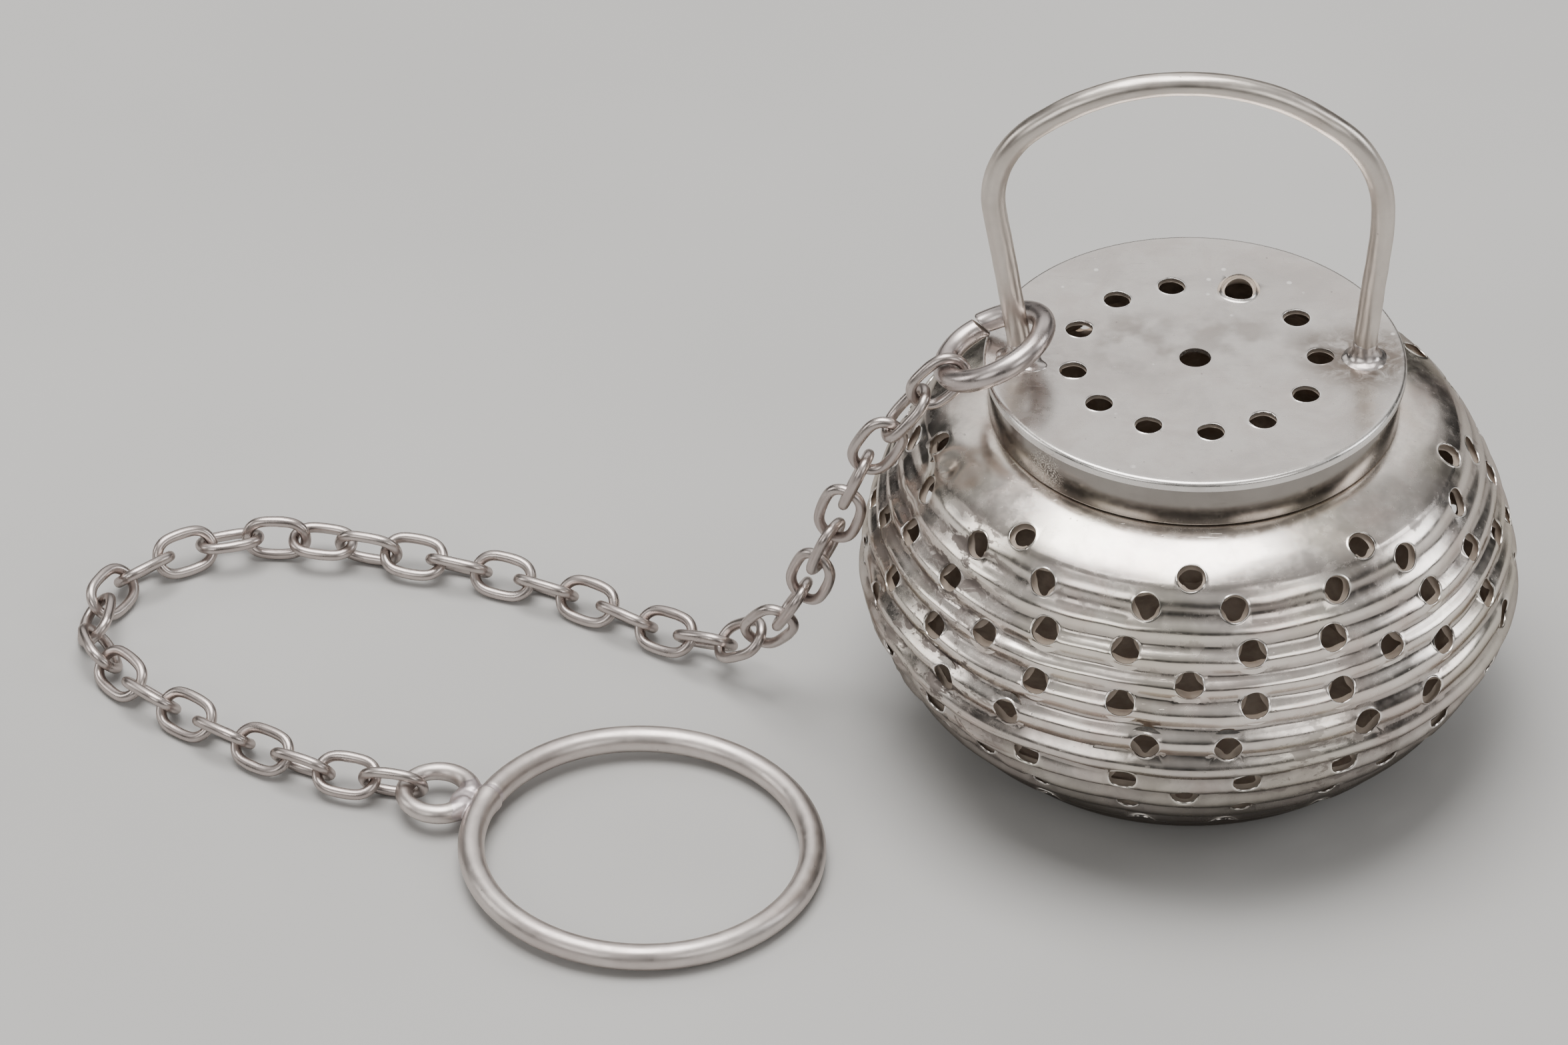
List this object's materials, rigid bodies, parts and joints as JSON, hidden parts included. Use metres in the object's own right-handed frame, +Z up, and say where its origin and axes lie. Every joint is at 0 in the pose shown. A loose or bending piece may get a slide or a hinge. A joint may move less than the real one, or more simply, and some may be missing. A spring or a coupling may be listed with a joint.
{
  "type": "tea infuser",
  "caption": "Ribbed, pierced metal ball for loose tea, with a lift-off lid, a fixed wire bail, a jump ring and a cable chain that ends in a finger ring.",
  "frame": {"origin": "centre of the ball's flat base, on the surface it stands on", "axes": "+Z up the ball's axis through the lid, -X towards the chain, -Y towards the side where the finger ring lies"},
  "size_m": [0.0926, 0.0486, 0.0489],
  "materials": {
    "ball_silver": "satin silver, worn bright on the crests and tarnished in the grooves",
    "inner_silver": "dull warm silver inside",
    "lid_silver": "satin silver with fine scratches and tarnish",
    "band_silver": "polished silver with a worn patch",
    "wire_silver": "polished silver wire",
    "solder": "grey solder, uneven",
    "jump_ring_silver": "satin silver with scratches",
    "chain_silver": "satin silver wire",
    "ring_silver": "satin silver wire"
  },
  "bodies": {
    "ball": {"ball": "ball_silver", "neck_collar": "inner_silver"},
    "lid": {"lid_disc": "lid_silver", "lid_band": "band_silver", "bail_handle": "wire_silver", "bail_solder": "solder"},
    "jump_ring": {"jump_ring": "jump_ring_silver"},
    "link_01": {"chain_link_01": "chain_silver"},
    "link_02": {"chain_link_02": "chain_silver"},
    "link_03": {"chain_link_03": "chain_silver"},
    "link_04": {"chain_link_04": "chain_silver"},
    "link_05": {"chain_link_05": "chain_silver"},
    "link_06": {"chain_link_06": "chain_silver"},
    "link_07": {"chain_link_07": "chain_silver"},
    "link_08": {"chain_link_08": "chain_silver"},
    "link_09": {"chain_link_09": "chain_silver"},
    "link_10": {"chain_link_10": "chain_silver"},
    "link_11": {"chain_link_11": "chain_silver"},
    "link_12": {"chain_link_12": "chain_silver"},
    "link_13": {"chain_link_13": "chain_silver"},
    "link_14": {"chain_link_14": "chain_silver"},
    "link_15": {"chain_link_15": "chain_silver"},
    "link_16": {"chain_link_16": "chain_silver"},
    "link_17": {"chain_link_17": "chain_silver"},
    "link_18": {"chain_link_18": "chain_silver"},
    "link_19": {"chain_link_19": "chain_silver"},
    "link_20": {"chain_link_20": "chain_silver"},
    "link_21": {"chain_link_21": "chain_silver"},
    "link_22": {"chain_link_22": "chain_silver"},
    "link_23": {"chain_link_23": "chain_silver"},
    "link_24": {"chain_link_24": "chain_silver"},
    "link_25": {"chain_link_25": "chain_silver"},
    "link_26": {"chain_link_26": "chain_silver"},
    "link_27": {"chain_link_27": "chain_silver"},
    "link_28": {"chain_link_28": "chain_silver"},
    "link_29": {"chain_link_29": "chain_silver"},
    "link_30": {"chain_link_30": "chain_silver"},
    "link_31": {"chain_link_31": "chain_silver"},
    "link_32": {"chain_link_32": "chain_silver"},
    "link_33": {"chain_link_33": "chain_silver"},
    "link_34": {"chain_link_34": "chain_silver"},
    "link_35": {"chain_link_35": "chain_silver"},
    "finger_ring": {"finger_ring": "ring_silver", "ring_eye": "wire_silver", "ring_solder": "solder"}
  },
  "joints": [
    {"name": "lid_lift", "type": "slide", "parent": "ball", "child": "lid", "axis": [0, 0, 1], "range_m": [0, 0.02]},
    {"name": "jump_ring_swing", "type": "hinge", "parent": "lid", "child": "jump_ring", "pos_m": [-0.0104, 0, 0.0295], "axis": [0, 1, 0], "range_deg": [0, 50]},
    {"name": "link_01_hinge", "type": "hinge", "parent": "jump_ring", "child": "link_01", "pos_m": [-0.01557, -0.00196, 0.02761], "axis": [0.2302, -0.9458, 0.2289], "range_deg": [-45, 1.5]},
    {"name": "link_02_hinge", "type": "hinge", "parent": "link_01", "child": "link_02", "pos_m": [-0.01742, -0.00212, 0.02568], "axis": [-0.717, -0.0656, 0.6939], "range_deg": [-45, 45]},
    {"name": "link_03_hinge", "type": "hinge", "parent": "link_02", "child": "link_03", "pos_m": [-0.01931, -0.00222, 0.02322], "axis": [0.0567, -0.9984, 0], "range_deg": [-45, 1.5]},
    {"name": "link_04_hinge", "type": "hinge", "parent": "link_03", "child": "link_04", "pos_m": [-0.02082, -0.00211, 0.02051], "axis": [0.8623, -0.0454, -0.5043], "range_deg": [-45, 45]},
    {"name": "link_05_hinge", "type": "hinge", "parent": "link_04", "child": "link_05", "pos_m": [-0.02188, -0.00178, 0.01761], "axis": [0.2619, 0.9651, 0], "range_deg": [-10, 45]},
    {"name": "link_06_hinge", "type": "hinge", "parent": "link_05", "child": "link_06", "pos_m": [-0.02274, -0.00141, 0.01465], "axis": [0.8814, -0.3571, -0.3091], "range_deg": [-45, 45]},
    {"name": "link_07_hinge", "type": "hinge", "parent": "link_06", "child": "link_07", "pos_m": [-0.02363, -0.00087, 0.01173], "axis": [0.5058, 0.8627, 0], "range_deg": [-45, 45]},
    {"name": "link_08_hinge", "type": "hinge", "parent": "link_07", "child": "link_08", "pos_m": [-0.02466, -0.00015, 0.0089], "axis": [0.7577, -0.5173, -0.3979], "range_deg": [-45, 45]},
    {"name": "link_09_hinge", "type": "hinge", "parent": "link_08", "child": "link_09", "pos_m": [-0.026, 0.00062, 0.00621], "axis": [0.3517, 0.9312, 0.0953], "range_deg": [-45, 45]},
    {"name": "link_10_hinge", "type": "hinge", "parent": "link_09", "child": "link_10", "pos_m": [-0.02768, 0.00176, 0.00386], "axis": [0.8063, -0.0802, -0.5861], "range_deg": [-35, 45]},
    {"name": "link_11_hinge", "type": "hinge", "parent": "link_10", "child": "link_11", "pos_m": [-0.02982, 0.00331, 0.0022], "axis": [0.2316, 0.8572, 0.46], "range_deg": [-45, 45]},
    {"name": "link_12_hinge", "type": "hinge", "parent": "link_11", "child": "link_12", "pos_m": [-0.03239, 0.00494, 0.00147], "axis": [-0.5438, -0.4913, 0.6804], "range_deg": [-45, 25]},
    {"name": "link_13_hinge", "type": "hinge", "parent": "link_12", "child": "link_13", "pos_m": [-0.035, 0.00661, 0.00133], "axis": [0.3387, 0.6228, 0.7053], "range_deg": [-45, 45]},
    {"name": "link_14_hinge", "type": "hinge", "parent": "link_13", "child": "link_14", "pos_m": [-0.03753, 0.0084, 0.00131], "axis": [-0.4143, -0.5731, 0.707], "range_deg": [-45, 20]},
    {"name": "link_15_hinge", "type": "hinge", "parent": "link_14", "child": "link_15", "pos_m": [-0.04021, 0.00998, 0.00129], "axis": [0.3598, 0.6087, 0.7071], "range_deg": [-45, 45]},
    {"name": "link_16_hinge", "type": "hinge", "parent": "link_15", "child": "link_16", "pos_m": [-0.04302, 0.01129, 0.00128], "axis": [0.3101, 0.6355, -0.7071], "range_deg": [-15, 45]},
    {"name": "link_17_hinge", "type": "hinge", "parent": "link_16", "child": "link_17", "pos_m": [-0.04591, 0.01242, 0.00132], "axis": [0.2699, 0.6536, 0.7071], "range_deg": [-45, 45]},
    {"name": "link_18_hinge", "type": "hinge", "parent": "link_17", "child": "link_18", "pos_m": [-0.04888, 0.0133, 0.00144], "axis": [0.1853, 0.6828, -0.7067], "range_deg": [-15, 45]},
    {"name": "link_19_hinge", "type": "hinge", "parent": "link_18", "child": "link_19", "pos_m": [-0.05187, 0.01408, 0.00154], "axis": [-0.2348, -0.8137, -0.5317], "range_deg": [-45, 45]},
    {"name": "link_20_hinge", "type": "hinge", "parent": "link_19", "child": "link_20", "pos_m": [-0.05489, 0.01482, 0.00162], "axis": [0.0552, 0.3266, -0.9435], "range_deg": [-10, 45]},
    {"name": "link_21_hinge", "type": "hinge", "parent": "link_20", "child": "link_21", "pos_m": [-0.05794, 0.01534, 0.00167], "axis": [-0.1784, -0.9776, -0.112], "range_deg": [-45, 45]},
    {"name": "link_22_hinge", "type": "hinge", "parent": "link_21", "child": "link_22", "pos_m": [-0.06104, 0.01544, 0.00166], "axis": [0.0048, 0.1119, 0.9937], "range_deg": [-45, 10]},
    {"name": "link_23_hinge", "type": "hinge", "parent": "link_22", "child": "link_23", "pos_m": [-0.06404, 0.01458, 0.00158], "axis": [0.2178, -0.9184, 0.3303], "range_deg": [-45, 45]},
    {"name": "link_24_hinge", "type": "hinge", "parent": "link_23", "child": "link_24", "pos_m": [-0.06675, 0.01305, 0.00146], "axis": [-0.2752, 0.4563, 0.8462], "range_deg": [-45, 45]},
    {"name": "link_25_hinge", "type": "hinge", "parent": "link_24", "child": "link_25", "pos_m": [-0.06912, 0.01104, 0.00135], "axis": [-0.4246, 0.5659, -0.7067], "range_deg": [-10, 45]},
    {"name": "link_26_hinge", "type": "hinge", "parent": "link_25", "child": "link_26", "pos_m": [-0.07048, 0.00822, 0.00131], "axis": [-0.6264, 0.3283, 0.707], "range_deg": [-45, 45]},
    {"name": "link_27_hinge", "type": "hinge", "parent": "link_26", "child": "link_27", "pos_m": [-0.07052, 0.00508, 0.00129], "axis": [-0.7054, 0.0496, -0.7071], "range_deg": [-10, 45]},
    {"name": "link_28_hinge", "type": "hinge", "parent": "link_27", "child": "link_28", "pos_m": [-0.06935, 0.00217, 0.0013], "axis": [0.6683, 0.2309, -0.7071], "range_deg": [-10, 45]},
    {"name": "link_29_hinge", "type": "hinge", "parent": "link_28", "child": "link_29", "pos_m": [-0.06729, -0.00019, 0.0013], "axis": [-0.5526, -0.4412, -0.7071], "range_deg": [-45, 45]},
    {"name": "link_30_hinge", "type": "hinge", "parent": "link_29", "child": "link_30", "pos_m": [-0.06495, -0.00222, 0.0013], "axis": [0.4741, 0.5246, -0.7071], "range_deg": [-10, 45]},
    {"name": "link_31_hinge", "type": "hinge", "parent": "link_30", "child": "link_31", "pos_m": [-0.06248, -0.0041, 0.00129], "axis": [-0.4355, -0.5571, -0.7071], "range_deg": [-45, 45]},
    {"name": "link_32_hinge", "type": "hinge", "parent": "link_31", "child": "link_32", "pos_m": [-0.05994, -0.00588, 0.00132], "axis": [0.4135, 0.5736, -0.7071], "range_deg": [-15, 45]},
    {"name": "link_33_hinge", "type": "hinge", "parent": "link_32", "child": "link_33", "pos_m": [-0.05736, -0.0076, 0.00138], "axis": [-0.4167, -0.6429, -0.6427], "range_deg": [-45, 45]},
    {"name": "link_34_hinge", "type": "hinge", "parent": "link_33", "child": "link_34", "pos_m": [-0.05461, -0.00902, 0.00144], "axis": [0.2837, 0.4988, -0.819], "range_deg": [-15, 45]},
    {"name": "link_35_hinge", "type": "hinge", "parent": "link_34", "child": "link_35", "pos_m": [-0.05164, -0.00993, 0.0015], "axis": [0.2623, 0.8254, 0.4999], "range_deg": [-45, 45]},
    {"name": "finger_ring_hinge", "type": "hinge", "parent": "link_35", "child": "finger_ring", "pos_m": [-0.0486, -0.01056, 0.00154], "axis": [-0.1009, -0.4105, 0.9063], "range_deg": [-25, 15]}
  ]
}
